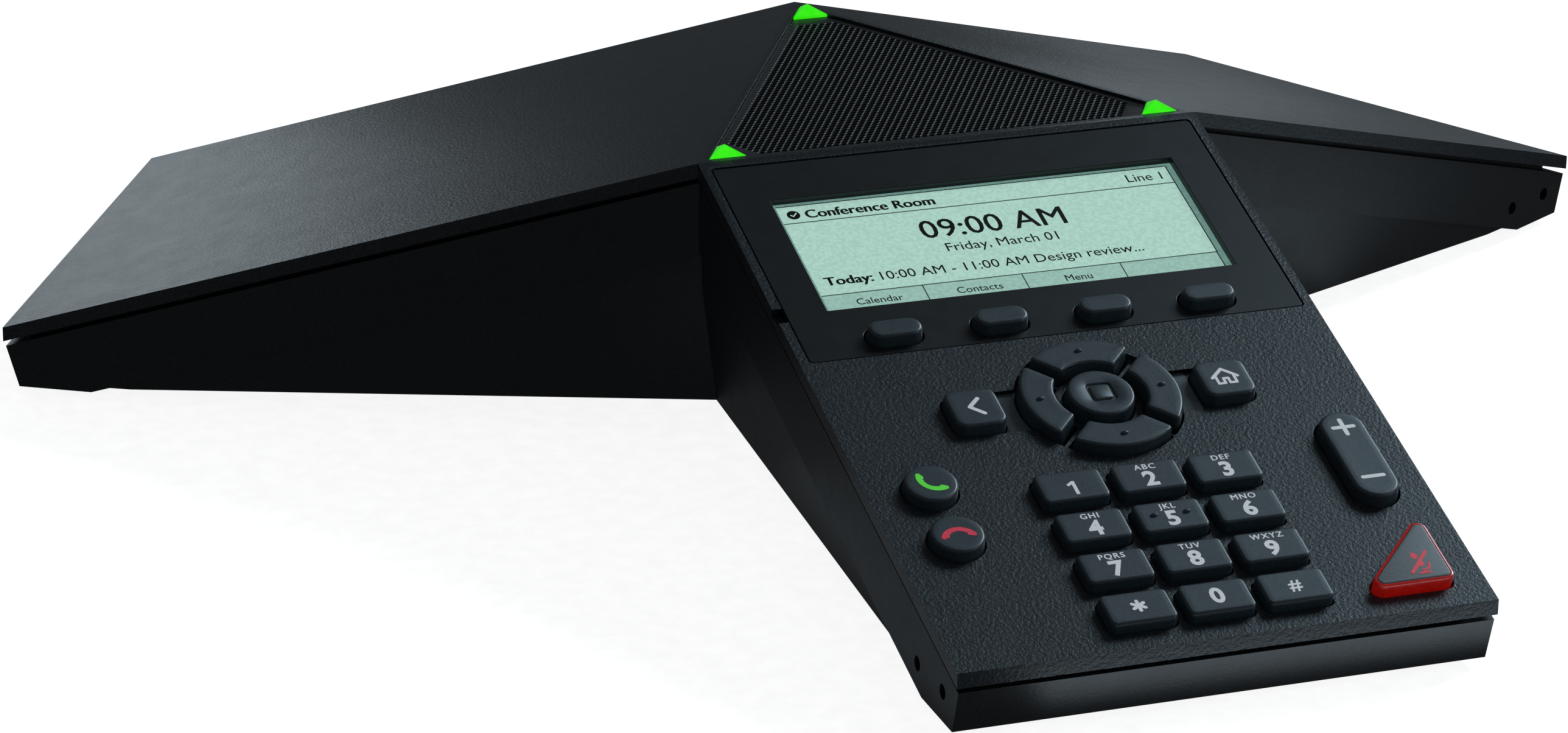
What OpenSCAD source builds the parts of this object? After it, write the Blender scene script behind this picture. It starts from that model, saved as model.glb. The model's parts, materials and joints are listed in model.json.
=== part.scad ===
// Three-armed table-top conference phone: a flat loudspeaker triangle in the middle and
// three equal arms that slope down to the table. The front arm carries the display and keys.
// Frame: origin under the middle of the overall box, on the table. +X right, +Z up, and the
// front arm points to -Y. On a sloping arm, s runs down the slope from the triangle's edge
// and n is the height above the sloping face.

/* [Body] */
// Width of each arm, which is also the side of the flat centre triangle
arm_w = 95; // [94:0.5:98]
// Horizontal length of each arm beyond the centre triangle
arm_len = 128.8; // [127:0.2:132]
// Slope of the arms in degrees
arm_slope = 18; // [17.5:0.1:18.2]
// Height of the flat centre triangle above the table
body_h = 55; // [54.5:0.1:56]
// Depth of the cover's edge, which is also its thickness measured vertically
cover_edge = 2.7; // [2.4:0.1:3]
// Height of the shadow gap between the cover and the lower housing
reveal_h = 1.1; // [0.8:0.1:1.3]
// Drop from the top face to the crease along the housing's side
band_drop = 16.75; // [15:0.25:18]
// Wall thickness of the lower housing
wall = 2.2; // [1.8:0.1:2.4]

/* [Underside] */
// Half width of the keel's bottom edge where an arm begins
keel_half = 42.5; // [41:0.5:43]
// Height of the keel's bottom edge where an arm begins
keel_h = 8.5; // [8:0.5:9]
// Inward lean of the keel's sides in degrees
keel_draft = 9; // [7:0.5:10]
// Height of the flat underside at each tip
tip_bottom = 1.7; // [1.5:0.1:2]
// Half length of each rubber foot
foot_half = 36; // [30:1:38]
// Width of each rubber foot
foot_w = 9.5; // [8:0.5:10]

/* [Display] */
// Width of the smooth display panel
panel_w = 91; // [88:0.5:91]
// Length of the display panel down the slope
panel_l = 54.5; // [54:0.5:55]
// Width of the display window
window_w = 76.1; // [70:0.1:77]
// Length of the display window down the slope
window_l = 31.35; // [28:0.05:32]

/* [Keys] */
// How far a pressed key travels
key_travel = 1.0; // [0.6:0.1:1.0]
// Height of the key tops above the sloping face
key_top = 2.05; // [1.5:0.05:2.5]
// Width of a dial key where it meets the face
dial_w = 12.0; // [11:0.1:12.2]
// Length of a dial key where it meets the face
dial_l = 7.4; // [7:0.1:7.6]
// Spacing of the dial keys across the panel
dial_pitch_x = 13.75; // [13.5:0.05:14]
// Spacing of the dial keys down the slope
dial_pitch_s = 10.17; // [10:0.01:10.3]
// Radius of the ring of arrow keys
ring_r = 14.2; // [14:0.1:14.4]
// Width of the gaps between the arrow keys
ring_gap = 2.0; // [1.8:0.1:2.2]
// Radius of the select key
select_r = 6.0; // [5.8:0.1:6]
// Length of the volume rocker
rocker_l = 22.5; // [20:0.5:23]
// Width of the volume rocker
rocker_w = 8.5; // [8:0.1:8.6]

/* [Top] */
// Inset of the loudspeaker grille from the edge of the centre triangle
grille_inset = 1.4; // [1.2:0.1:1.6]
// Side of each three-sided status light
light_side = 6.8; // [6:0.1:7]
// Height of the status lights above the top face
light_h = 1.8; // [1:0.1:2]

/* [Loudspeaker] */
// Radius of the loudspeaker's mounting flange
speaker_r = 30.5; // [29:0.5:31]
// Radius of the loudspeaker's magnet
magnet_r = 17; // [15:0.5:18]

/* [Sockets] */
// Half width of the cable well in the underside
well_half = 21; // [20:0.5:22]
// Length of the cable well
well_l = 29.6; // [28:0.2:30]
// Height of the well's ceiling above the table
well_top = 23.6; // [23:0.1:23.8]
// Width of the cable channel that leads out at the back
channel_w = 12; // [10:0.5:13]

/* [Hidden] */
$fn = 48;
eps = 0.01;

// Body
apothem = arm_w / (2 * sqrt(3));
tip_u = apothem + arm_len;
star_y = (tip_u - (tip_u / 2 + arm_w / 2 * cos(30))) / 2;
half_w = arm_w / 2;
slope_t = tan(arm_slope);
tip_top = body_h - arm_len * slope_t;
face_l = arm_len / cos(arm_slope);
skin_n = cover_edge * cos(arm_slope);
housing_inset = 0.4;
crease_inset = 1.2;
housing_wall_inset = housing_inset + wall;
cavity_end = tip_u - 4.2;
housing_end_draft = 16.4;
keel_wall = wall + 0.7;
keel_u0 = 24.66;
keel_flare = 1.5;
keel_fall = 3.58;
floor_h = tip_bottom + wall;
skirt_gap = 0.2;
skirt_t = 1.4;
skirt_drop = 5.5;
big = 400;

// Fasteners that join the cover and the housing
boss_u = 100;
boss_v = 39;
boss_split = 14;
boss_r = 3.2;
case_screw_r = 1.5;
case_screw_head_r = 3.0;
case_screw_seat = 7.5;
screw_gap = 0.05;

// Feet
foot_u = tip_u - 10.5;
foot_recess = 0.8;

// Microphones
mic_us = [tip_u - 18.5, tip_u - 7.2];
mic_h = 6.8;
mic_hole_r = 1.3;
mic_r = 2.0;
boot_r = 2.45;
mic_len = 2.6;

// Display
panel_s0 = 2.1;
panel_gap = 0.3;
panel_t = 2.45;
panel_sink = 0.1;
window_s0 = 12.25;
glass_n = -1.4;
glass_t = 1.5;
glass_w = 81;
glass_s = [9.4, 46.6];
backlight_w = 83;
backlight_s = [8.5, 48];
backlight_t = 4.4;
notch_s = [41.8, 45.6];

// Key stack, measured along n
key_gap = 0.3;
flange_top = -2.8;
flange_t = 0.7;
flange_w = 0.6;
plunger_t = 0.8;
mat_top = flange_top - flange_t - key_travel - 0.4;
board_top = flange_top - flange_t - plunger_t - key_travel - 0.3;
board_t = 1.6;
contact_t = 0.15;
mat_gap = 0.5;
board_half = 41;
board_s = [48.9, 131];
board_notch_x = 35.2;
board_notch_s = [73.5, 84];

// Key places: [x, s]
soft_xs = [-28.95, -9.6, 9.6, 28.95];
soft_s = 52.2;
soft_size = [10.1, 5.0, 2.4];
back_at = [-22.7, 75.0];
home_at = [22.7, 75.0];
square_size = [9.6, 9.6, 2.2];
ring_at = [0, 75.1];
ring_in = 7.9;
ring_mid = 11;
ring_hole = ring_r + 0.4;
call_at = [-36.8, 92.3];
end_at = [-36.8, 105.2];
round_r = 4.75;
dial_s0 = 97.2;
dial_r = 1.2;
dial_names = ["dial_1", "dial_2", "dial_3", "dial_4", "dial_5", "dial_6",
    "dial_7", "dial_8", "dial_9", "dial_star", "dial_0", "dial_hash"];
soft_names = ["soft_key_1", "soft_key_2", "soft_key_3", "soft_key_4"];
nav_names = ["nav_right", "nav_up", "nav_left", "nav_down"];
rocker_at = [37.7, 98.6];
rocker_gap = 0.4;
rocker_top = 2.3;
rocker_axis_n = -3.75;
rocker_flange_t = 0.7;
rocker_pin_r = 0.8;
rocker_pin_half = 6.3;
rocker_plunger_s = 6.5;
rocker_plunger_n = -5.0;
mute_corner = [41.2, 130.8];
mute_leg = 15.6;
mute_corner_r = 1.4;
mute_base_r = 1.7;
mute_gap = 0.4;
mute_cap_r = 1.15;
mute_cap_n = 1.2;
mute_top = 2.3;
strip_half = 5.35;
strip_depth = 0.8;
web_n = -0.9;
web_w = 0.6;
plunger_r = 2.0;
small_plunger_r = 1.5;

// Plungers that the mat, the contacts and the board meet: [x, s, radius]
plungers = concat(
    [for (x = soft_xs) [x, soft_s, small_plunger_r]],
    [for (i = [0:11]) [dial_x(i), dial_s(i), plunger_r]],
    [for (a = [0:3])
        [ring_at[0] + ring_mid * cos(90 * a), ring_at[1] - ring_mid * sin(90 * a), small_plunger_r]],
    [for (k = [back_at, home_at, ring_at, call_at, end_at]) [k[0], k[1], plunger_r]],
    [for (d = [-1, 1]) [rocker_at[0], rocker_at[1] + d * rocker_plunger_s, small_plunger_r]],
    [[mute_centre()[0], mute_centre()[1], plunger_r]]
);

// Top
grille_apothem = apothem - grille_inset;
recess_depth = 1.9;
grille_t = 1.1;
grille_top = body_h - 0.5;
cloth_t = 0.2;
light_circum = light_side / sqrt(3);
light_radius = 2 * grille_apothem - light_circum - 0.4;
pipe_r = 1.5;
pipe_bottom = body_h - 6;
light_board_z = body_h - 8;

// Loudspeaker
opening_r = 24;
rib_r = [25, 27.2];
rib_bottom = body_h - 4.5;
gasket_bottom = body_h - 5.7;
flange_h = 1.4;
ear_at = 29.2;
ear_r = 3.1;
speaker_screw_r = 1.0;
basket_bottom = 36.2;
magnet_bottom = 30.4;

// Main board
main_z = 26;
main_t = 1.6;
main_half = 38;
main_tip = 52;
post_u = 46;
post_v = 31;
post_r = 3.4;
board_screw_r = 1.25;
board_screw_len = 7;

// Sockets: places are relative to the middle of the star
well_y = 6.4;
well_wall = 1.8;
lan_x = -8;
lan_size = [16, 18, 13.6];
lan_mouth = [11.9, 12, 7];
lan_mouth_z = 14.2;
usb_x = 11;
usb_size = [14.4, 16, 7];
usb_shell = 0.7;
socket_face = well_y - 0.4;
channel_top = 17;

body_grey = [0.17, 0.19, 0.21];
key_grey = [0.22, 0.25, 0.28];
legend_green = [0.25, 1, 0.1];

function dial_x(i) = (i % 3 - 1) * dial_pitch_x;
function dial_s(i) = dial_s0 + floor(i / 3) * dial_pitch_s;
function mute_far() = mute_corner_r / tan(22.5);
function mute_centre() = [mute_corner[0] - 4.6, mute_corner[1] - 4.6];

// ---- Frames and outlines ----

// Local frame of arm i: +X runs outwards along the arm, +Y across it
module arm_frame(i) {
    translate([0, star_y, 0]) rotate([0, 0, 120 * i - 90]) children();
}

module on_arms() {
    for (i = [0:2]) arm_frame(i) children();
}

// Local frame on the front arm's sloping face
module on_panel(x = 0, s = 0, n = 0) {
    translate([0, star_y - apothem, body_h]) rotate([arm_slope, 0, 0]) translate([x, -s, n]) children();
}

module star_2d(half, tip) {
    for (i = [0:2]) rotate(120 * i - 90) translate([0, -half]) square([tip, 2 * half]);
}

module star_prism(half, tip, z0, z1) {
    translate([0, star_y, z0]) linear_extrude(z1 - z0) star_2d(half, tip);
}

module slab_under_arm(i, drop) {
    over = 20;
    arm_frame(i) rotate([90, 0, 0]) translate([0, 0, -big / 2]) linear_extrude(big)
        polygon([[-big / 2, -big / 4], [tip_u + over, -big / 4],
            [tip_u + over, tip_top - over * slope_t - drop],
            [apothem, body_h - drop], [-big / 2, body_h - drop]]);
}

// Everything lower than the top faces by a vertical drop
module under_top(drop) {
    intersection() {
        slab_under_arm(0, drop);
        slab_under_arm(1, drop);
        slab_under_arm(2, drop);
    }
}

// Centre triangle with its sides facing the arms
module triangle_prism(inner, z0, z1) {
    translate([0, star_y, z0]) rotate([0, 0, 90]) cylinder(h = z1 - z0, r = 2 * inner, $fn = 3);
}

module rounded_2d(w, l, r) {
    square([w - 2 * r, l], center = true);
    square([w, l - 2 * r], center = true);
    for (sx = [-1, 1], sy = [-1, 1]) translate([sx * (w / 2 - r), sy * (l / 2 - r)]) circle(r);
}

module rounded_prism(size, grow, n0, n1) {
    translate([0, 0, n0]) linear_extrude(n1 - n0)
        rounded_2d(size[0] + 2 * grow, size[1] + 2 * grow, size[2] + grow);
}

module disc(r, n0, n1) {
    translate([0, 0, n0]) cylinder(h = n1 - n0, r = r);
}

module slot_prism(half_l, half_w, z0, z1) {
    translate([0, 0, z0]) linear_extrude(z1 - z0) {
        square([2 * half_w, 2 * (half_l - half_w)], center = true);
        for (d = [-1, 1]) translate([0, d * (half_l - half_w)]) circle(half_w);
    }
}

// Right-angled key outline with round corners: the centres stay, the radius grows
module mute_2d(r) {
    low = [mute_corner[0] - mute_corner_r, -(mute_corner[1] - mute_corner_r)];
    reach = mute_leg - mute_corner_r - mute_far();
    up = low + [0, reach];
    left = low - [reach, 0];
    slant = r * [-sqrt(0.5), sqrt(0.5)];
    polygon([low + [r, 0], up + [r, 0], up + slant, left + slant, left - [0, r], low - [0, r]]);
    for (c = [low, up, left]) translate(c) circle(r);
}

module mute_prism(r, n0, n1) {
    on_panel() translate([0, 0, n0]) linear_extrude(n1 - n0) mute_2d(r);
}

// One quarter of the arrow ring, centred on local +X
module ring_quarter(r0, r1, gap, n0, n1) {
    a = gap / sqrt(2);
    translate([0, 0, n0]) linear_extrude(n1 - n0) intersection() {
        difference() {
            circle(r1);
            circle(r0);
        }
        polygon([[a, 0], [a + r1, r1], [a + r1, -r1]]);
    }
}

// ---- Covers ----

module cover_plate() {
    difference() {
        intersection() {
            star_prism(half_w, tip_u, 0, body_h);
            under_top(0);
        }
        under_top(cover_edge);
    }
}

module cover_skirt() {
    outer = housing_wall_inset + skirt_gap;
    difference() {
        intersection() {
            star_prism(half_w - outer, cavity_end - skirt_gap, 0, body_h);
            under_top(cover_edge);
        }
        under_top(skirt_drop);
        star_prism(half_w - outer - skirt_t, cavity_end - skirt_gap - skirt_t, 0, body_h);
        on_panel() translate([-half_w + 5, -face_l, -skirt_drop - 2])
            cube([arm_w - 10, face_l - board_s[1] + 8, skirt_drop + 3]);
    }
}

module cover_bosses() {
    intersection() {
        union() {
            on_arms() for (d = [-1, 1]) translate([boss_u, d * boss_v, boss_split])
                cylinder(h = body_h, r = boss_r);
        }
        under_top(cover_edge / 2);
    }
    translate([0, star_y, rib_bottom]) difference() {
        cylinder(h = body_h - recess_depth - rib_bottom, r = rib_r[1]);
        translate([0, 0, -eps]) cylinder(h = body_h, r = rib_r[0]);
    }
    for (i = [0:2]) translate([0, star_y, 0]) rotate([0, 0, 120 * i + 90]) {
        translate([ear_at, 0, gasket_bottom]) cylinder(h = body_h - recess_depth - gasket_bottom, r = 2.2);
        for (d = [-1, 1]) translate([light_radius - 4.6, d * 3.4, light_board_z + 1.2])
            cylinder(h = body_h - recess_depth - light_board_z - 1.2, r = 1.1);
    }
    for (d = [-1, 1]) on_panel(rocker_at[0] + d * (rocker_pin_half - 0.3), rocker_at[1], 0)
        translate([-0.7, -2, rocker_axis_n - 1.05]) cube([1.4, 4, -rocker_axis_n - skin_n / 2 + 1.05]);
}

module key_openings() {
    n0 = -skin_n - 1;
    n1 = 1;
    for (i = [0:11]) on_panel(dial_x(i), dial_s(i))
        rounded_prism([dial_w, dial_l, dial_r], key_gap, n0, n1);
    for (k = [back_at, home_at]) on_panel(k[0], k[1]) rounded_prism(square_size, key_gap, n0, n1);
    for (k = [call_at, end_at]) on_panel(k[0], k[1]) disc(round_r + key_gap, n0, n1);
    on_panel(ring_at[0], ring_at[1]) disc(ring_hole, n0, n1);
    on_panel(rocker_at[0], rocker_at[1])
        slot_prism(rocker_l / 2 + rocker_gap, rocker_w / 2 + rocker_gap, n0, n1);
    mute_prism(mute_base_r + mute_gap, n0, n1);
    on_panel(0, back_at[1], -strip_depth) translate([back_at[0], -strip_half, 0])
        cube([home_at[0] - back_at[0], 2 * strip_half, 5]);
}

// Thin webs that stay between the arrow keys, and the collar round the select key
module ring_webs() {
    on_panel(ring_at[0], ring_at[1]) {
        difference() {
            union() {
                disc(ring_in - key_gap, -skin_n, web_n);
                for (a = [45, 135]) rotate([0, 0, a]) translate([-ring_hole - 0.2, -web_w / 2, -skin_n])
                    cube([2 * ring_hole + 0.4, web_w, skin_n + web_n]);
            }
            disc(select_r + key_gap, -skin_n - 1, 1);
        }
    }
}

module cover_cuts() {
    on_panel(0, panel_s0 + panel_l / 2) translate([0, 0, -skin_n - 1]) linear_extrude(skin_n + 2)
        rounded_2d(panel_w + 2 * panel_gap, panel_l + 2 * panel_gap, 0.9);
    on_panel(0, 0) translate([-half_w - 0.5, -notch_s[1], -1.4]) cube([2.6, notch_s[1] - notch_s[0], 4]);
    key_openings();
    triangle_prism(grille_apothem, body_h - recess_depth, body_h + 1);
    translate([0, star_y, 0]) cylinder(h = body_h, r = opening_r);
    on_arms() for (d = [-1, 1]) translate([boss_u, d * boss_v, boss_split - 1])
        cylinder(h = 9.5, r = case_screw_r + screw_gap);
    for (i = [0:2]) translate([0, star_y, 0]) rotate([0, 0, 120 * i + 90]) {
        translate([light_radius, 0, body_h - 6]) cylinder(h = 8, r = pipe_r + 0.15);
        translate([ear_at, 0, gasket_bottom - 1]) cylinder(h = 3.4, r = speaker_screw_r + screw_gap);
    }
    on_panel(rocker_at[0], rocker_at[1], rocker_axis_n) rotate([0, 90, 0])
        translate([0, 0, -rocker_pin_half - 1.5])
            cylinder(h = 2 * rocker_pin_half + 2, r = rocker_pin_r + 0.05);
}

module top_cover() {
    color(body_grey) {
        difference() {
            union() {
                cover_plate();
                cover_skirt();
                cover_bosses();
            }
            cover_cuts();
        }
        ring_webs();
    }
}

module keel(side_inset, floor_inset) {
    on_arms() intersection() {
        for_side(1, side_inset);
        for_side(-1, side_inset);
        translate([keel_u0, 0, keel_h]) rotate([0, keel_fall, 0])
            translate([-big / 2, -big / 2, floor_inset]) cube([big, big, big / 2]);
        translate([0, -half_w, 0]) cube([tip_u - 15, arm_w, body_h]);
    }
}

// Everything on the inner side of one leaning keel wall
module for_side(side, inset) {
    mirror([0, side < 0 ? 1 : 0, 0]) translate([keel_u0, keel_half, keel_h])
        rotate([0, 0, keel_flare]) rotate([-keel_draft, 0, 0])
            translate([-big / 2, -big / 2, -big / 2]) cube([big, big / 2 - inset, big]);
}

module housing_outer() {
    difference() {
        intersection() {
            star_prism(half_w - housing_inset, tip_u - housing_inset, tip_bottom, body_h);
            under_top(cover_edge + reveal_h);
        }
        under_top(band_drop);
    }
    intersection() {
        keel(0, 0);
        star_prism(half_w - crease_inset, tip_u - 15, tip_bottom, body_h);
        under_top(band_drop - 1);
    }
}

module housing_cavity() {
    difference() {
        star_prism(half_w - housing_wall_inset, cavity_end, floor_h, body_h);
        under_top(band_drop - wall);
    }
    intersection() {
        keel(keel_wall, wall);
        star_prism(half_w - housing_wall_inset, cavity_end, floor_h, body_h);
    }
}

// Space for the cable plugs in the underside, with the channel that leads out at the back
module well_space(grow) {
    translate([-well_half - grow, star_y + well_y - grow, -1])
        cube([2 * (well_half + grow), well_l + 2 * grow, well_top + grow + 1]);
    translate([-channel_w / 2 - grow, star_y + well_y + well_l - 1, -1])
        cube([channel_w + 2 * grow, 40, channel_top + grow + 1]);
}

module housing_bosses() {
    on_arms() for (d = [-1, 1]) {
        translate([boss_u, d * boss_v, tip_bottom])
            cylinder(h = boss_split - 0.2 - tip_bottom, r = boss_r + 0.8);
        translate([post_u, d * post_v, keel_h - 1]) cylinder(h = main_z - keel_h + 1, r = post_r);
    }
    on_arms() for (u = mic_us) translate([u - 2.6, -half_w + wall, floor_h - 0.2])
        cube([5.2, 3.5, mic_h - floor_h - 0.6]);
}

module bottom_housing() {
    color(body_grey) difference() {
        union() {
            difference() {
                housing_outer();
                housing_cavity();
            }
            intersection() {
                union() {
                    housing_bosses();
                    well_space(well_wall);
                }
                union() {
                    keel(0, 0);
                    housing_cavity();
                }
                star_prism(half_w - crease_inset, tip_u - 1.5, 0, body_h);
            }
        }
        well_space(0);
        on_arms() {
            translate([tip_u - housing_inset, -half_w - 1, tip_top - cover_edge - reveal_h])
                rotate([0, housing_end_draft, 0]) translate([0, 0, -40]) cube([20, arm_w + 2, 80]);
            for (d = [-1, 1]) translate([boss_u, d * boss_v, 0]) {
                cylinder(h = boss_split, r = case_screw_r + screw_gap);
                cylinder(h = case_screw_seat, r = case_screw_head_r + 0.2);
            }
            for (d = [-1, 1]) translate([post_u, d * post_v, main_z - 9])
                cylinder(h = 12, r = board_screw_r + screw_gap);
            translate([foot_u, 0, 0])
                slot_prism(foot_half + 0.15, foot_w / 2 + 0.15, 0, tip_bottom + foot_recess);
            for (u = mic_us) {
                translate([u, 0, mic_h]) rotate([90, 0, 0]) cylinder(h = half_w, r = mic_hole_r);
                translate([u, -half_w + housing_wall_inset + 8, mic_h]) rotate([90, 0, 0])
                    cylinder(h = 8, r = boot_r + 0.05);
            }
        }
        for (s = [[lan_x, lan_size], [usb_x, usb_size]])
            translate([s[0] - s[1][0] / 2 - 0.3, star_y - 2, main_z - 0.5 - s[1][2]])
                cube([s[1][0] + 0.6, well_y + 2, s[1][2] + 0.5]);
    }
}

module rubber_feet() {
    color([0.08, 0.08, 0.09]) on_arms() translate([foot_u, 0, 0])
        slot_prism(foot_half, foot_w / 2, 0, tip_bottom + foot_recess);
}

// ---- Display ----

module display_panel() {
    color([0.13, 0.145, 0.165]) difference() {
        on_panel(0, panel_s0 + panel_l / 2) translate([0, 0, -panel_sink - panel_t])
            linear_extrude(panel_t) rounded_2d(panel_w, panel_l, 0.8);
        on_panel(0, window_s0 + window_l / 2) translate([-window_w / 2, -window_l / 2, -5])
            cube([window_w, window_l, 10]);
        on_panel() translate([-glass_w / 2 - 0.3, -glass_s[1] - 0.3, -5])
            cube([glass_w + 0.6, glass_s[1] - glass_s[0] + 0.6, 5 + glass_n]);
        for (x = soft_xs) on_panel(x, soft_s) rounded_prism(soft_size, key_gap, -5, 2);
    }
}

module lcd_glass() {
    color([0.69, 0.84, 0.78]) on_panel() translate([-glass_w / 2, -glass_s[1], glass_n - glass_t - 0.05])
        cube([glass_w, glass_s[1] - glass_s[0], glass_t]);
}

module lcd_backlight() {
    top = glass_n - glass_t - 0.1;
    color([0.9, 0.92, 0.9]) on_panel() translate([-backlight_w / 2, -backlight_s[1], top - backlight_t])
        cube([backlight_w, backlight_s[1] - backlight_s[0], backlight_t]);
}

// ---- Top ----

module speaker_grille() {
    color([0.13, 0.14, 0.15]) difference() {
        triangle_prism(grille_apothem - 0.15, grille_top - grille_t, grille_top);
        for (i = [0:2]) translate([0, star_y, 0]) rotate([0, 0, 120 * i + 90])
            translate([light_radius, 0, body_h - 4]) cylinder(h = 8, r = pipe_r + 0.1);
    }
}

module grille_cloth() {
    color([0.05, 0.05, 0.06]) difference() {
        triangle_prism(grille_apothem - 0.4, grille_top - grille_t - cloth_t, grille_top - grille_t);
        for (i = [0:2]) translate([0, star_y, 0]) rotate([0, 0, 120 * i + 90])
            translate([light_radius, 0, body_h - 4]) cylinder(h = 8, r = pipe_r + 0.1);
    }
}

module status_lights() {
    color(legend_green) for (i = [0:2]) translate([0, star_y, 0]) rotate([0, 0, 120 * i + 90])
        translate([light_radius, 0, 0]) {
            translate([0, 0, grille_top]) cylinder(h = body_h - grille_top, r = light_circum, $fn = 3);
            translate([0, 0, body_h - eps]) cylinder(h = light_h + eps, r1 = light_circum, r2 = 0, $fn = 3);
            translate([0, 0, pipe_bottom]) cylinder(h = grille_top - pipe_bottom, r = pipe_r);
        }
}

module light_boards() {
    color([0.1, 0.35, 0.2]) for (i = [0:2]) translate([0, star_y, 0]) rotate([0, 0, 120 * i + 90]) {
        translate([light_radius - 6.2, -5, light_board_z]) cube([7.9, 10, 1.2]);
        translate([light_radius - 1, -1, light_board_z + 1.2]) cube([2, 2, 0.7]);
    }
}

// ---- Loudspeaker ----

module speaker_gasket() {
    color([0.1, 0.1, 0.1]) translate([0, star_y, gasket_bottom]) difference() {
        cylinder(h = rib_bottom - gasket_bottom, r = rib_r[1] - 0.4);
        translate([0, 0, -1]) cylinder(h = 5, r = rib_r[0] + 0.1);
    }
}

module speaker_frame() {
    top = gasket_bottom;
    low = top - flange_h;
    color([0.3, 0.3, 0.32]) translate([0, star_y, 0]) difference() {
        union() {
            translate([0, 0, low]) cylinder(h = flange_h, r = speaker_r);
            translate([0, 0, basket_bottom]) cylinder(h = low - basket_bottom, r1 = 19.5, r2 = 26.8);
            for (i = [0:2]) rotate([0, 0, 120 * i + 90]) translate([ear_at, 0, low])
                cylinder(h = flange_h, r = ear_r);
        }
        translate([0, 0, basket_bottom + 1.4]) cylinder(h = low - basket_bottom - 1.4, r1 = 18.4, r2 = 25.2);
        translate([0, 0, low - eps]) cylinder(h = flange_h + 1, r = 25.2);
        translate([0, 0, basket_bottom - 1]) cylinder(h = 5, r = 8);
        for (i = [0:2]) rotate([0, 0, 120 * i + 90]) translate([ear_at, 0, low - 1])
            cylinder(h = flange_h + 2, r = speaker_screw_r + screw_gap);
    }
}

module speaker_cone() {
    color([0.15, 0.15, 0.16]) translate([0, star_y, 0]) rotate_extrude()
        polygon([[0, basket_bottom + 5.2], [5.5, basket_bottom + 4], [16.5, gasket_bottom - 1.4],
            [20.5, gasket_bottom - 0.6], [24.5, gasket_bottom - 1.4], [24.5, gasket_bottom - 2],
            [20.5, gasket_bottom - 1.2], [16.5, gasket_bottom - 2], [6, basket_bottom + 3],
            [6, basket_bottom + 1.6], [5.2, basket_bottom + 1.6], [5.2, basket_bottom + 3.2],
            [0, basket_bottom + 4.4]]);
}

module speaker_magnet() {
    color([0.2, 0.2, 0.21]) translate([0, star_y, magnet_bottom]) difference() {
        cylinder(h = basket_bottom - magnet_bottom, r = magnet_r);
        translate([0, 0, 2]) cylinder(h = 10, r = 6.4);
    }
}

module speaker_screws() {
    color([0.6, 0.6, 0.62]) for (i = [0:2]) translate([0, star_y, 0]) rotate([0, 0, 120 * i + 90])
        translate([ear_at, 0, 0]) {
            translate([0, 0, gasket_bottom - flange_h - 1.2]) cylinder(h = 1.2, r = 1.9);
            translate([0, 0, gasket_bottom - flange_h - eps])
                cylinder(h = flange_h + 2.2, r = speaker_screw_r);
        }
}

// ---- Electronics ----

module main_board() {
    color([0.08, 0.3, 0.18]) difference() {
        star_prism(main_half, main_tip, main_z, main_z + main_t);
        on_arms() for (d = [-1, 1]) translate([post_u, d * post_v, main_z - 1])
            cylinder(h = main_t + 2, r = board_screw_r + 0.15);
    }
}

module processor_shield() {
    side = 22;
    height = 2.4;
    sheet = 0.5;
    color([0.75, 0.76, 0.78]) translate([19.5, star_y - 14, main_z + main_t]) difference() {
        cube([side, side, height]);
        translate([sheet, sheet, -1]) cube([side - 2 * sheet, side - 2 * sheet, height + 1 - sheet]);
    }
}

module board_connectors() {
    z = main_z + main_t;
    color([0.9, 0.88, 0.8]) {
        translate([-9, star_y - 42, z]) cube([18, 5, 2.6]);
        translate([-40, star_y + 8, z]) cube([8, 5, 5]);
        translate([34, star_y + 14, z]) cube([10, 5, 5]);
    }
}

module capacitors() {
    color([0.25, 0.27, 0.35]) for (p = [[-28, -8], [-36, -8], [-29, -17]])
        translate([p[0], star_y + p[1], main_z + main_t]) cylinder(h = 6, r = 3.15);
}

module keypad_cable() {
    t = 0.3;
    under = board_top - board_t;
    s = 56;
    u = apothem + s * cos(arm_slope) + under * sin(arm_slope);
    z = body_h - s * sin(arm_slope) + under * cos(arm_slope) - t;
    low = main_z + main_t + 1.2;
    plug = 42.1;
    color([0.85, 0.55, 0.2]) arm_frame(0) rotate([90, 0, 0]) translate([0, 0, -7]) linear_extrude(14)
        polygon([[plug, low], [plug + 14, low], [u - 6, z - 1.4], [u, z], [u, z - t],
            [u - 6, z - 1.4 - t], [plug + 14, low - t], [plug, low - t]]);
}

module lan_jack() {
    z0 = main_z - 0.05 - lan_size[2];
    color([0.72, 0.73, 0.75]) difference() {
        translate([lan_x - lan_size[0] / 2, star_y + socket_face - lan_size[1], z0]) cube(lan_size);
        translate([lan_x - lan_mouth[0] / 2, star_y + socket_face - lan_mouth[1], lan_mouth_z])
            cube([lan_mouth[0], lan_mouth[1] + 1, lan_mouth[2]]);
        translate([lan_x - 3.2, star_y + socket_face - 8, z0 + 0.6]) cube([6.4, 9, 4]);
    }
}

module lan_contacts() {
    pitch = 1.02;
    color([0.9, 0.75, 0.3]) for (k = [0:7])
        translate([lan_x + (k - 3.5) * pitch - 0.2, star_y + socket_face - lan_mouth[1],
            lan_mouth_z + lan_mouth[2] - 0.5]) cube([0.4, 9, 0.5]);
}

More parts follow.
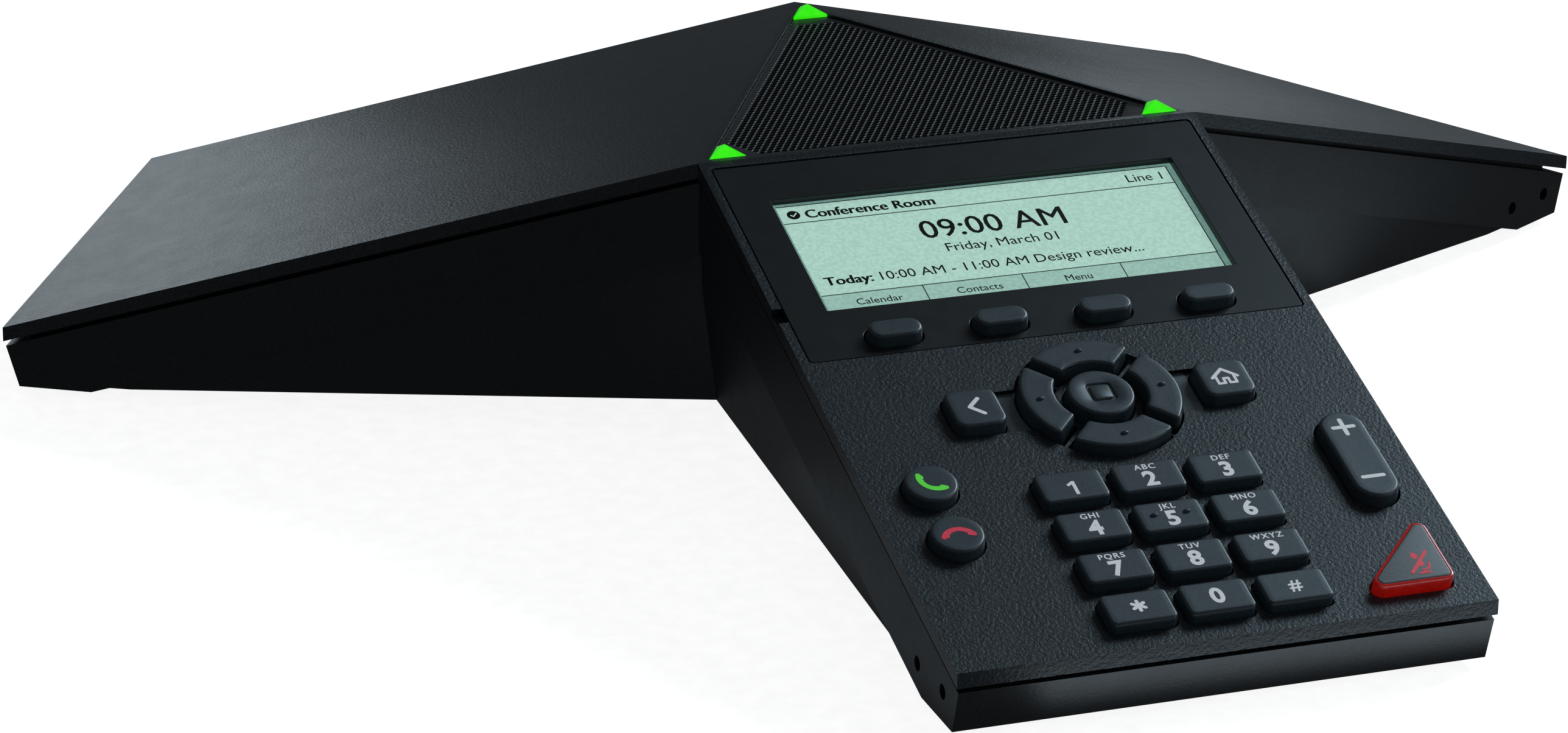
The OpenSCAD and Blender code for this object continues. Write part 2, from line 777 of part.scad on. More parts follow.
module usb_port() {
    z0 = main_z - 0.05 - usb_size[2];
    inner = [usb_size[0] - 2 * usb_shell, usb_size[1] - 2, usb_size[2] - 2 * usb_shell];
    color([0.78, 0.79, 0.8]) {
        difference() {
            translate([usb_x - usb_size[0] / 2, star_y + socket_face - usb_size[1], z0]) cube(usb_size);
            translate([usb_x - inner[0] / 2, star_y + socket_face - inner[1], z0 + usb_shell])
                cube([inner[0], inner[1] + 1, inner[2]]);
        }
        translate([usb_x - 5.6, star_y + socket_face - inner[1] - 0.5, z0 + 3.9])
            cube([11.2, inner[1] - 0.5, 1.6]);
    }
}

// ---- Key pad ----

module board_2d() {
    difference() {
        translate([-board_half, -board_s[1]]) square([2 * board_half, board_s[1] - board_s[0]]);
        for (d = [-1, 1])
            translate([d * (board_half + board_notch_x) / 2, -(board_notch_s[0] + board_notch_s[1]) / 2])
            square([board_half - board_notch_x + eps, board_notch_s[1] - board_notch_s[0]], center = true);
    }
}

module keypad_mat() {
    color([0.3, 0.32, 0.34]) difference() {
        on_panel(0, 0, board_top) linear_extrude(mat_top - board_top) board_2d();
        for (p = plungers) on_panel(p[0], p[1]) disc(p[2] + mat_gap, board_top - 1, mat_top + 1);
    }
}

module keypad_board() {
    color([0.08, 0.3, 0.18]) on_panel(0, 0, board_top - board_t) linear_extrude(board_t) board_2d();
}

module key_contacts() {
    color([0.85, 0.75, 0.4]) for (p = plungers)
        on_panel(p[0], p[1]) disc(p[2], board_top, board_top + contact_t);
}

module plunger(r) {
    disc(r, flange_top - flange_t - plunger_t, flange_top - flange_t + eps);
}

module block_key(size) {
    rounded_prism(size, 0, flange_top - eps, key_top);
    rounded_prism(size, flange_w, flange_top - flange_t, flange_top);
}

module soft_key(i) {
    color(key_grey) on_panel(soft_xs[i], soft_s) {
        block_key(soft_size);
        plunger(small_plunger_r);
    }
}

module square_key(at) {
    color(key_grey) on_panel(at[0], at[1]) {
        block_key(square_size);
        plunger(plunger_r);
    }
}

module round_key(at, r, grow) {
    color(key_grey) on_panel(at[0], at[1]) {
        disc(r, flange_top - eps, key_top);
        disc(r + grow, flange_top - flange_t, flange_top);
        plunger(plunger_r);
    }
}

module dial_key(i) {
    color(key_grey) on_panel(dial_x(i), dial_s(i)) {
        block_key([dial_w, dial_l, dial_r]);
        plunger(plunger_r);
    }
}

module nav_key(i) {
    color(key_grey) on_panel(ring_at[0], ring_at[1]) rotate([0, 0, 90 * i]) {
        ring_quarter(ring_in, ring_r, ring_gap, flange_top - eps, key_top);
        ring_quarter(ring_in, ring_r + 1.2, ring_gap / 2, flange_top - flange_t, flange_top);
        translate([ring_mid, 0, 0]) plunger(small_plunger_r);
    }
}

module volume_rocker() {
    n1 = rocker_axis_n + rocker_flange_t / 2;
    n0 = n1 - rocker_flange_t;
    color(key_grey) on_panel(rocker_at[0], rocker_at[1]) {
        slot_prism(rocker_l / 2, rocker_w / 2, n0, rocker_top);
        slot_prism(rocker_l / 2 + flange_w, rocker_w / 2 + 0.5, n0, n1);
        translate([0, 0, rocker_axis_n]) rotate([0, 90, 0])
            translate([0, 0, -rocker_pin_half]) cylinder(h = 2 * rocker_pin_half, r = rocker_pin_r);
        for (d = [-1, 1]) translate([0, d * rocker_plunger_s, 0])
            disc(small_plunger_r, rocker_plunger_n, n0 + eps);
    }
}

module mute_lens() {
    color([0.85, 0.1, 0.08]) {
        difference() {
            mute_prism(mute_base_r, flange_top - eps, mute_top - 0.1);
            mute_prism(mute_cap_r + 0.02, mute_cap_n, mute_top + 1);
        }
        difference() {
            mute_prism(mute_base_r + flange_w, flange_top - flange_t, flange_top);
            on_panel() translate([half_w - 4.6, -mute_corner[1] - 5, -5]) cube([5, 30, 5]);
        }
        on_panel(mute_centre()[0], mute_centre()[1]) plunger(plunger_r);
    }
}

module mute_cap() {
    color([0.33, 0.36, 0.38]) mute_prism(mute_cap_r, mute_cap_n, mute_top);
}

// ---- Microphones and fasteners ----

module mic_capsules() {
    color([0.7, 0.7, 0.72]) on_arms() for (u = mic_us)
        translate([u, -half_w + housing_wall_inset + 0.6 + mic_len, mic_h]) rotate([90, 0, 0])
            cylinder(h = mic_len, r = mic_r);
}

module mic_boots() {
    color([0.1, 0.1, 0.1]) on_arms() for (u = mic_us)
        translate([u, -half_w + housing_wall_inset + 0.05 + mic_len + 0.5, mic_h]) rotate([90, 0, 0])
            difference() {
                cylinder(h = mic_len + 0.5, r = boot_r);
                translate([0, 0, -1]) cylinder(h = mic_len + 1, r = mic_r);
                cylinder(h = 10, r = mic_hole_r);
            }
}

module housing_screws() {
    head = 2.2;
    color([0.3, 0.3, 0.32]) on_arms() for (d = [-1, 1]) translate([boss_u, d * boss_v, 0]) difference() {
        union() {
            translate([0, 0, case_screw_seat - head]) cylinder(h = head, r = case_screw_head_r);
            translate([0, 0, case_screw_seat - eps]) cylinder(h = 14, r = case_screw_r);
        }
        translate([0, 0, case_screw_seat - head - 1]) cylinder(h = 2.2, r = 1.1, $fn = 6);
    }
}

module board_screws() {
    top = main_z + main_t;
    color([0.75, 0.75, 0.77]) on_arms() for (d = [-1, 1]) translate([post_u, d * post_v, 0]) {
        translate([0, 0, top]) cylinder(h = 1.6, r = 2.4);
        translate([0, 0, top - board_screw_len]) cylinder(h = board_screw_len + eps, r = board_screw_r);
    }
}

top_cover();
bottom_housing();
rubber_feet();
display_panel();
lcd_glass();
lcd_backlight();
speaker_grille();
grille_cloth();
status_lights();
light_boards();
speaker_gasket();
speaker_frame();
speaker_cone();
speaker_magnet();
speaker_screws();
main_board();
processor_shield();
board_connectors();
capacitors();
keypad_cable();
lan_jack();
lan_contacts();
usb_port();
keypad_mat();
keypad_board();
key_contacts();
mic_capsules();
mic_boots();
housing_screws();
board_screws();
square_key(back_at);  // back_key
square_key(home_at);  // home_key
round_key(ring_at, select_r, 0.9);  // select_key
round_key(call_at, round_r, flange_w);  // call_key
round_key(end_at, round_r, flange_w);  // end_key
volume_rocker();
mute_cap();
mute_lens();
for (i = [0:3]) soft_key(i);
for (i = [0:3]) nav_key(i);
for (i = [0:11]) dial_key(i);
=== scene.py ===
"""Looks of the three-armed conference phone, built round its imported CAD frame.

Lengths are in mm until a mesh is made; the camera, lamps and cards are placed in metres. A panel
place is (x, t, n): x across the front arm, t up its slope from the centre triangle's edge, so that
places on the arm have a negative t, and n the height above the sloping face.
"""

import json
import math

import bpy
from mathutils import Matrix, Vector
from mathutils.geometry import tessellate_polygon


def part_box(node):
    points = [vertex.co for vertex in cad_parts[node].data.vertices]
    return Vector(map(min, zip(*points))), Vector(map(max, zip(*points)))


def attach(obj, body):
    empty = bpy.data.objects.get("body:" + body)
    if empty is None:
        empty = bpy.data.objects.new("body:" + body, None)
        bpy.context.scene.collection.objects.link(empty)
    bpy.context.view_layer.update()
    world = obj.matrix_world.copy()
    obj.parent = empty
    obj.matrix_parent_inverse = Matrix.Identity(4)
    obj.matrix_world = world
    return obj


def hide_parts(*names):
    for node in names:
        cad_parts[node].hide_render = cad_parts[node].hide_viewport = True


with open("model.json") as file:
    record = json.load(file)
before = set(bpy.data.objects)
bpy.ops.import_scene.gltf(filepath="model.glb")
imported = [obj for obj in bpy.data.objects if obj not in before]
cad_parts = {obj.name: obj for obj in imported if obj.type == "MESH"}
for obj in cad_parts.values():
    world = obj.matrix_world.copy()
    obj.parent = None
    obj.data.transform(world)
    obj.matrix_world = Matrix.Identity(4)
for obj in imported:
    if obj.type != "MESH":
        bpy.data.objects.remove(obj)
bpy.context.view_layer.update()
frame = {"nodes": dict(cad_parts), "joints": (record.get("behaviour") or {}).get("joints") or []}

MM = 0.001
SIN60 = math.sin(math.radians(60))


# ---- Places taken from the frame ----

def box_mm(node):
    lo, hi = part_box(node)
    return lo / MM, hi / MM


def middle(node):
    lo, hi = box_mm(node)
    return (lo + hi) / 2


cover_lo, cover_hi = box_mm("top_cover")
star_y = middle("speaker_magnet").y
body_h = cover_hi.z
tip_u = star_y - cover_lo.y
half_w = (cover_hi.x - tip_u * SIN60) / 0.5
apothem = half_w / math.sqrt(3)

push = Vector(next(j for j in frame["joints"] if j["name"] == "dial_5_press")["axis"])
normal = -push.normalized()
across = Vector((1, 0, 0))
up_slope = normal.cross(across)
PANEL = (
    Matrix.Scale(MM, 4)
    @ Matrix.Translation((0, star_y - apothem, body_h))
    @ Matrix((across, up_slope, normal)).transposed().to_4x4()
)
TO_PANEL = PANEL.inverted()
WORLD = Matrix.Scale(MM, 4)


TOP_BAND = 0.05


def cap(node):
    """Lowest and highest corner of a node's top face, as panel places."""
    points = [TO_PANEL @ v.co for v in frame["nodes"][node].data.vertices]
    top = max(p.z for p in points)
    rim = [p for p in points if p.z > top - TOP_BAND]
    return Vector(map(min, zip(*rim))), Vector(map(max, zip(*rim)))


def cap_middle(node):
    lo, hi = cap(node)
    return (lo + hi) / 2


def at_panel(x, t, n=0.0):
    return PANEL @ Matrix.Translation((x, t, n))


# ---- Materials ----

def srgb(r, g, b):
    """Linear colour of a screen colour given as 0 to 255."""
    return tuple(
        c / 12.92 if c <= 0.04045 else ((c + 0.055) / 1.055) ** 2.4 for c in (r / 255, g / 255, b / 255)
    ) + (1.0,)


def grained(
    name, low, high, roughness, grain, depth, specular=0.5, coat=0.0, metallic=0.0, glow=0.0, detail=3.0,
    spread=(0.35, 0.65), sheen=0.0,
):
    """A moulded, woven or cast surface: its colour runs from low to high and its height rises and
    falls by depth mm over a pattern whose grains are `grain` mm wide."""
    material = bpy.data.materials.new(name)
    material.use_nodes = True
    tree = material.node_tree
    shader = tree.nodes["Principled BSDF"]
    shader.inputs["Metallic"].default_value = metallic
    shader.inputs["Specular IOR Level"].default_value = specular
    shader.inputs["Coat Weight"].default_value = coat
    shader.inputs["Coat Roughness"].default_value = 0.15
    shader.inputs["Sheen Weight"].default_value = sheen
    place = tree.nodes.new("ShaderNodeTexCoord")
    noise = tree.nodes.new("ShaderNodeTexNoise")
    noise.inputs["Scale"].default_value = 0.5 / (grain * MM)
    noise.inputs["Detail"].default_value = detail
    noise.inputs["Roughness"].default_value = 0.6
    tree.links.new(place.outputs["Object"], noise.inputs["Vector"])
    broad = tree.nodes.new("ShaderNodeTexNoise")
    broad.inputs["Scale"].default_value = 0.5 / (grain * 9 * MM)
    tree.links.new(place.outputs["Object"], broad.inputs["Vector"])
    ramp = tree.nodes.new("ShaderNodeValToRGB")
    ramp.color_ramp.elements[0].position, ramp.color_ramp.elements[1].position = spread
    ramp.color_ramp.elements[0].color, ramp.color_ramp.elements[1].color = low, high
    tree.links.new(noise.outputs["Fac"], ramp.inputs["Fac"])
    tree.links.new(ramp.outputs["Color"], shader.inputs["Base Color"])
    if glow:
        shader.inputs["Emission Strength"].default_value = glow
        tree.links.new(ramp.outputs["Color"], shader.inputs["Emission Color"])
    rough = tree.nodes.new("ShaderNodeMapRange")
    rough.inputs["To Min"].default_value, rough.inputs["To Max"].default_value = roughness
    tree.links.new(broad.outputs["Fac"], rough.inputs["Value"])
    tree.links.new(rough.outputs["Result"], shader.inputs["Roughness"])
    bump = tree.nodes.new("ShaderNodeBump")
    bump.inputs["Distance"].default_value = depth * MM
    bump.inputs["Strength"].default_value = 1.0
    tree.links.new(noise.outputs["Fac"], bump.inputs["Height"])
    tree.links.new(bump.outputs["Normal"], shader.inputs["Normal"])
    return material


BODY = grained("spark_eroded_plastic", srgb(18, 24, 29), srgb(44, 56, 66), (0.32, 0.42), 0.3, 0.11,
               specular=0.5, spread=(0.4, 0.72))
HOUSING = grained("housing_plastic", srgb(14, 17, 19), srgb(32, 37, 42), (0.4, 0.5), 0.26, 0.05, specular=0.5)
PANEL_PLASTIC = grained("panel_plastic", srgb(20, 24, 27), srgb(25, 29, 33), (0.3, 0.38), 0.2, 0.004,
                        specular=0.4)
# The strips' colour is painted much lighter than the body's. This is painted light on strips that sit in the
# shade of their recess.
STRIP_PAINTED_LIT = grained("strip_plastic_painted_lit", srgb(98, 108, 116), srgb(108, 118, 126), (0.3, 0.4), 0.3, 0.006,
                specular=0.5)
KEY = grained("key_plastic", srgb(48, 62, 70), srgb(62, 77, 86), (0.34, 0.44), 0.22, 0.014, specular=0.6)
# The key legends' inks glow a little. This is painted light that makes the print read brighter; no lamp is
# behind them.
INK_WITH_PAINTED_GLOW = grained("legend_ink_painted_glow", srgb(214, 219, 224), srgb(228, 232, 236), (0.4, 0.5), 0.2, 0.004, glow=0.35)
CALL_INK_WITH_PAINTED_GLOW = grained("call_ink_painted_glow", srgb(84, 232, 52), srgb(104, 246, 72), (0.4, 0.5), 0.2, 0.004, glow=0.35)
END_INK_WITH_PAINTED_GLOW = grained("end_ink_painted_glow", srgb(210, 44, 72), srgb(226, 60, 88), (0.4, 0.5), 0.2, 0.004, glow=0.35)
MUTE_INK_WITH_PAINTED_GLOW = grained("mute_ink_painted_glow", srgb(222, 52, 66), srgb(236, 66, 80), (0.4, 0.5), 0.2, 0.004, glow=0.3)
# The red lens glows a little. This is painted light that brightens it; no lamp shines in it.
MUTE_RED_WITH_PAINTED_GLOW = grained("mute_red", srgb(214, 22, 16), srgb(230, 32, 22), (0.18, 0.28), 0.5, 0.006, coat=0.6,
                   glow=0.16)
MUTE_GREY = grained("mute_cap_plastic", srgb(124, 132, 138), srgb(138, 146, 152), (0.36, 0.46), 0.22, 0.015)
LIGHT = grained("status_green", srgb(50, 248, 10), srgb(66, 255, 26), (0.18, 0.26), 1.2, 0.004, coat=0.5,
                glow=0.75)
GRILLE = grained("grille_paint", srgb(22, 26, 29), srgb(32, 37, 41), (0.3, 0.38), 0.16, 0.008, specular=0.5)
# The cloth is near black: its own black, darkened further as painted shade in the depths of the grille's
# holes.
CLOTH_AND_HOLE_SHADE = grained("acoustic_cloth_and_hole_shade", srgb(3, 3, 4), srgb(10, 10, 11), (0.85, 0.95), 0.3, 0.05, specular=0.1,
                sheen=0.3)
LCD_BACK = grained("lcd_background", srgb(120, 148, 138), srgb(128, 156, 146), (0.3, 0.36), 0.34, 0.002,
                   specular=0.3, glow=1.7, detail=0.0)
LCD_BAR = grained("lcd_bar", srgb(104, 132, 123), srgb(112, 140, 131), (0.3, 0.36), 0.34, 0.002,
                  specular=0.3, glow=1.7, detail=0.0)
# The glass round the picture is painted darker. This is painted shade of the window's rim where the glass
# shows beside the picture.
LCD_EDGE_PAINTED_SHADE = grained("lcd_edge_painted_shade", srgb(74, 102, 96), srgb(82, 110, 104), (0.3, 0.36), 0.34, 0.002,
                   specular=0.3, glow=1.7, detail=0.0)
LCD_INK = grained("lcd_ink", srgb(10, 13, 12), srgb(20, 24, 23), (0.3, 0.4), 0.34, 0.002, specular=0.2)
# Dark lines of the picture, together with a painted shadow line of the window's rim along the picture's top
# and right edges.
LCD_RULE_AND_RIM_SHADOW = grained("lcd_rule_and_rim_shadow", srgb(74, 104, 96), srgb(82, 112, 104), (0.3, 0.4), 0.34, 0.002, specular=0.2)
RUBBER = grained("rubber", srgb(20, 20, 22), srgb(32, 32, 34), (0.75, 0.9), 0.5, 0.03, specular=0.2)
BOARD = grained("circuit_board", srgb(10, 62, 34), srgb(22, 90, 54), (0.3, 0.45), 0.8, 0.01, coat=0.4)
STEEL = grained("screw_steel", srgb(120, 122, 126), srgb(160, 162, 166), (0.25, 0.4), 0.3, 0.01, metallic=1.0)
DARK_STEEL = grained("speaker_steel", srgb(52, 54, 58), srgb(74, 76, 80), (0.35, 0.5), 0.6, 0.02,
                     metallic=0.8)
TIN = grained("tin_plate", srgb(168, 172, 176), srgb(196, 200, 204), (0.2, 0.34), 0.7, 0.006, metallic=1.0)
PAPER = grained("cone_paper", srgb(26, 26, 28), srgb(44, 44, 46), (0.8, 0.95), 0.6, 0.06, specular=0.1)
CREAM = grained("connector_plastic", srgb(214, 208, 190), srgb(230, 225, 208), (0.4, 0.5), 0.3, 0.01)
SLEEVE = grained("capacitor_sleeve", srgb(46, 52, 76), srgb(58, 66, 92), (0.25, 0.35), 0.6, 0.006, coat=0.4)
FLEX = grained("flex_cable", srgb(176, 112, 40), srgb(200, 134, 56), (0.25, 0.4), 0.5, 0.006, coat=0.3)
GOLD = grained("gold_contact", srgb(206, 168, 84), srgb(230, 194, 108), (0.15, 0.3), 0.4, 0.004, metallic=1.0)
SILICONE = grained("silicone", srgb(70, 74, 78), srgb(86, 90, 94), (0.6, 0.75), 0.5, 0.02, specular=0.25)
GUIDE = grained("light_guide", srgb(214, 218, 216), srgb(232, 236, 234), (0.3, 0.4), 0.8, 0.005)

NODE_MATERIALS = {
    BODY: ["top_cover"],
    HOUSING: ["bottom_housing"],
    PANEL_PLASTIC: ["display_panel"],
    RUBBER: ["rubber_feet", "mic_boots", "speaker_gasket"],
    LCD_EDGE_PAINTED_SHADE: ["lcd_glass"],
    GUIDE: ["lcd_backlight"],
    CLOTH_AND_HOLE_SHADE: ["grille_cloth"],
    LIGHT: ["status_lights"],
    BOARD: ["light_boards", "main_board", "keypad_board"],
    DARK_STEEL: ["speaker_frame", "speaker_magnet"],
    PAPER: ["speaker_cone"],
    STEEL: ["speaker_screws", "housing_screws", "board_screws", "mic_capsules"],
    TIN: ["processor_shield", "lan_jack", "usb_port"],
    CREAM: ["board_connectors"],
    SLEEVE: ["capacitors"],
    FLEX: ["keypad_cable"],
    GOLD: ["lan_contacts", "key_contacts"],
    SILICONE: ["keypad_mat"],
}
for material, nodes in NODE_MATERIALS.items():
    for node in nodes:
        slots = frame["nodes"][node].data.materials
        slots.clear()
        slots.append(material)


def soften(node, width, angle=30):
    """Rounds a CAD node's sharp edges by a modifier; its own mesh stays as it is."""
    part = frame["nodes"][node]
    weld = part.modifiers.new("weld", "WELD")
    weld.merge_threshold = 1e-6
    flat = part.modifiers.new("merge_flat", "DECIMATE")
    flat.decimate_type = "DISSOLVE"
    flat.angle_limit = math.radians(0.5)
    bevel = part.modifiers.new("soft_edges", "BEVEL")
    bevel.width = width * MM
    bevel.segments = 3
    bevel.limit_method = "ANGLE"
    bevel.angle_limit = math.radians(angle)
    even = part.modifiers.new("even_normals", "WEIGHTED_NORMAL")
    even.mode = "FACE_AREA"
    even.weight = 100


soften("top_cover", 0.35)
soften("bottom_housing", 0.3)
soften("display_panel", 0.2)
soften("status_lights", 0.22)
soften("rubber_feet", 0.5)


# ---- Mesh making ----

def build(name, verts, faces, place, material, body, slot, sharp=40):
    """A piece from points in mm, put in the row frame by `place`, that rides on a CAD body."""
    mesh = bpy.data.meshes.new(name)
    mesh.from_pydata([place @ Vector(v) for v in verts], [], faces)
    mesh.shade_smooth()
    mesh.set_sharp_from_angle(angle=math.radians(sharp))
    mesh.materials.append(material)
    piece = bpy.data.objects.new(name, mesh)
    bpy.context.scene.collection.objects.link(piece)
    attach(piece, body)
    return piece


def arc(centre, radius, start, end, steps):
    """Points of an arc, its ends included; angles are in degrees."""
    turns = [math.radians(start + (end - start) * k / steps) for k in range(steps + 1)]
    return [(centre[0] + radius * math.cos(a), centre[1] + radius * math.sin(a)) for a in turns]


def rounded(width, length, radius, steps=8):
    """Outline of a rounded rectangle as a function of how far it is drawn in."""
    def outline(inset):
        r = max(radius - inset, 0.1)
        x, y = width / 2 - inset - r, length / 2 - inset - r
        points = []
        for k, (sx, sy) in enumerate([(1, -1), (1, 1), (-1, 1), (-1, -1)]):
            points += arc((sx * x, sy * y), r, 90 * k - 90, 90 * k, steps)
        return points
    return outline


def round_outline(radius, steps=48):
    return lambda inset: arc((0, 0), radius - inset, 0, 360 - 360 / steps, steps - 1)


def quarter(inner, outer, half_gap, fillet, steps=5, arc_steps=20):
    """Outline of one arrow key, centred on +X, with round corners."""
    def outline(inset):
        f = max(fillet - inset, 0.1)
        ro, ri, g = outer - inset, inner + inset, half_gap + inset
        a_out = 45 - math.degrees(math.asin((g + f) / (ro - f)))
        a_in = 45 - math.degrees(math.asin((g + f) / (ri + f)))

        def polar(radius, angle):
            return radius * math.cos(math.radians(angle)), radius * math.sin(math.radians(angle))

        points = arc((0, 0), ro, -a_out, a_out, arc_steps)
        points += arc(polar(ro - f, a_out), f, a_out, 135, steps)
        points += arc(polar(ri + f, a_in), f, 135, a_in + 180, steps)
        points += arc((0, 0), ri, a_in, -a_in, arc_steps)
        points += arc(polar(ri + f, -a_in), f, 180 - a_in, 225, steps)
        points += arc(polar(ro - f, -a_out), f, 225, 360 - a_out, steps)
        return points
    return outline


def corner_outline(lo, hi, radius, steps=8):
    """Right-angled outline in the box lo to hi, its right angle at the lower right."""
    low, up = (hi[0] - radius, lo[1] + radius), (hi[0] - radius, hi[1] - radius)
    left = (lo[0] + radius, lo[1] + radius)

    def outline(inset):
        r = radius - inset
        return arc(low, r, -90, 0, steps) + arc(up, r, 0, 135, steps) + arc(left, r, 135, 270, steps)
    return outline


def loft(outline, levels):
    """Closed solid through an outline drawn in by each level's inset, given as (n, inset)."""
    rings = [[(x, y, n) for x, y in outline(inset)] for n, inset in levels]
    count = len(rings[0])
    verts = [p for ring in rings for p in ring]
    faces = [
        (k * count + i, k * count + (i + 1) % count, (k + 1) * count + (i + 1) % count, (k + 1) * count + i)
        for k in range(len(rings) - 1) for i in range(count)
    ]
    faces.append(tuple(reversed(range(count))))
    faces.append(tuple(range(len(verts) - count, len(verts))))
    return verts, faces


def joined(*meshes):
    verts, faces = [], []
    for v, f in meshes:
        start = len(verts)
        verts += v
        faces += [tuple(i + start for i in face) for face in f]
    return verts, faces


def shifted(mesh, x=0.0, y=0.0, n=0.0, turn=0.0):
    """The same mesh turned by `turn` degrees about n and then moved."""
    c, s = math.cos(math.radians(turn)), math.sin(math.radians(turn))
    return [(x + c * a - s * b, y + s * a + c * b, n + h) for a, b, h in mesh[0]], mesh[1]


# ---- Keys ----

FLANGE_TOP = -2.8
FLANGE_T = 0.7
FLANGE_W = 0.6
EDGE = 0.5
DRAFT = 0.14
STEPS = 6


def key_levels(top, edge=EDGE, draft=DRAFT, flange=FLANGE_W):
    """A key's side from its flange to its rounded top edge."""
    levels = [(FLANGE_TOP - FLANGE_T, -flange), (FLANGE_TOP, -flange), (FLANGE_TOP, 0), (-0.4, 0)]
    for k in range(STEPS + 1):
        turn = math.radians(90 * k / STEPS)
        levels.append((top - edge * (1 - math.sin(turn)), draft + edge * (1 - math.cos(turn))))
    levels.append((top - 0.01, draft + edge + 0.9))
    return levels


def key_piece(node, outline, levels, extra=(), turn=0.0, place=None):
    """The finished key that stands for a CAD key, on the same body."""
    place = place or at_panel(*cap_middle(node).xy)
    mesh = joined(shifted(loft(outline, levels), turn=turn), *extra)
    piece = build(f"{node}_cap", *mesh, place, KEY, node, "key_plastic")
    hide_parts(node)
    return piece


def bump_mesh(x, y, n, half_l=0.75, half_w=0.38, height=0.45):
    """A small raised drop that a finger can feel."""
    rings, around = 4, 12
    verts = [
        (
            x + half_l * math.cos(t) * math.cos(e),
            y + half_w * math.sin(t) * math.cos(e),
            n + height * math.sin(e),
        )
        for e in (math.radians(90 * k / rings) for k in range(rings))
        for t in (math.tau * i / around for i in range(around))
    ] + [(x, y, n + height)]
    faces = [
        (
            k * around + i,
            k * around + (i + 1) % around,
            (k + 1) * around + (i + 1) % around,
            (k + 1) * around + i,
        )
        for k in range(rings - 1) for i in range(around)
    ]
    last = (rings - 1) * around
    faces += [(last + i, last + (i + 1) % around, len(verts) - 1) for i in range(around)]
    faces.append(tuple(reversed(range(around))))
    return verts, faces


# ---- Lettering and signs ----

INK_T = 0.03
INK_SUNK = 0.01
LAYER = 0.008


def word(text, height, weight=0.0, align=0, spacing=1.0):
    """Solid letters `height` mm tall; align is 0 for a centred word, -1 for left and 1 for right."""
    curve = bpy.data.curves.new("word", "FONT")
    curve.body = text
    curve.resolution_u = 3
    curve.offset = weight
    curve.space_character = spacing
    holder = bpy.data.objects.new("word", curve)
    bpy.context.scene.collection.objects.link(holder)
    bpy.context.view_layer.update()
    outline = bpy.data.meshes.new_from_object(holder.evaluated_get(bpy.context.evaluated_depsgraph_get()))
    bpy.data.objects.remove(holder)
    scale = height / CAPITAL
    flat = [(v.co.x * scale, v.co.y * scale) for v in outline.vertices]
    faces = [tuple(p.vertices) for p in outline.polygons]
    edges = {}
    for face in faces:
        for a, b in zip(face, face[1:] + face[:1]):
            edges[(a, b)] = edges.get((a, b), 0) + 1
    lo, hi = min(x for x, _ in flat), max(x for x, _ in flat)
    shift = {0: -(lo + hi) / 2, -1: -lo, 1: -hi}[align]
    count = len(flat)
    verts = [(x + shift, y - height / 2, n) for n in (0.0, INK_T) for x, y in flat]
    solid = [tuple(i + count for i in face) for face in faces] + [tuple(reversed(face)) for face in faces]
    solid += [(a, b, b + count, a + count) for a, b in edges if (b, a) not in edges]
    bpy.data.meshes.remove(outline)
    return verts, solid


def bold(text, height, spread, **settings):
    """The same letters three times, side by side and each a layer higher, so that they read as heavy."""
    mesh = word(text, height, **settings)
    return joined(*[shifted(mesh, x=spread * (k - 1), n=LAYER * k) for k in range(3)])


def one(height):
    """The figure 1 with its flag, drawn 3.3 mm tall and then scaled."""
    k = height / 3.3
    stem = [(0.0, -1.65), (0.62, -1.65), (0.62, 1.65), (0.12, 1.65)]
    flag = [(-0.95, 0.92), (-0.64, 0.5), (0.0, 0.92)]
    return plate([(k * x, k * y) for x, y in stem + flag])


CAPITAL = 0.7


def capital_height():
    verts, _ = word("H", 1.0)
    return (max(v[1] for v in verts) - min(v[1] for v in verts)) * CAPITAL


CAPITAL = capital_height()


def plate(points, thickness=INK_T):
    """Flat solid over a polygon given counter-clockwise."""
    count = len(points)
    verts = [(x, y, n) for n in (0.0, thickness) for x, y in points]
    triangles = tessellate_polygon([[Vector((x, y, 0)) for x, y in points]])
    top, low = [], []
    for a, b, c in triangles:
        (ax, ay), (bx, by), (cx, cy) = points[a], points[b], points[c]
        if (bx - ax) * (cy - ay) - (by - ay) * (cx - ax) < 0:
            b, c = c, b
        top.append((a + count, b + count, c + count))
        low.append((a, c, b))
    sides = [(i, (i + 1) % count, (i + 1) % count + count, i + count) for i in range(count)]
    return verts, top + low + sides


def stroke(points, width, steps=6, lift=0.0):
    """Flat solid that follows straight lines with round ends; where two cross, they differ in thickness."""
    parts = []
    for k, ((ax, ay), (bx, by)) in enumerate(zip(points, points[1:])):
        heading = math.degrees(math.atan2(by - ay, bx - ax))
        outline = arc((bx, by), width / 2, heading - 90, heading + 90, steps)
        outline += arc((ax, ay), width / 2, heading + 90, heading + 270, steps)
        parts.append(plate(outline, INK_T + lift + (k % 2) * LAYER))
    return joined(*parts)


def rectangle(x0, y0, x1, y1):
    return plate([(x0, y0), (x1, y0), (x1, y1), (x0, y1)])


def handset():
    """A telephone handset seen from the side, its grip arching upwards."""
    outer = arc((0, -2.05), 3.35, 22, 158, 16)
    left_end = [(-3.05, -0.95), (-2.75, -1.25), (-1.75, -0.95), (-1.55, -0.7), (-1.55, -0.1)]
    inner = arc((0, -1.55), 1.9, 138, 42, 10)
    right_end = [(-x, y) for x, y in reversed(left_end)]
    return plate(outer + left_end + inner + right_end)


def legend(name, mesh, node, material):
    """Ink on a key's top, placed from the middle of its top face."""
    middle_top = cap_middle(node)
    place = at_panel(middle_top.x, middle_top.y, middle_top.z - INK_SUNK)
    return build(name, *mesh, place, material, node, "key_plastic")


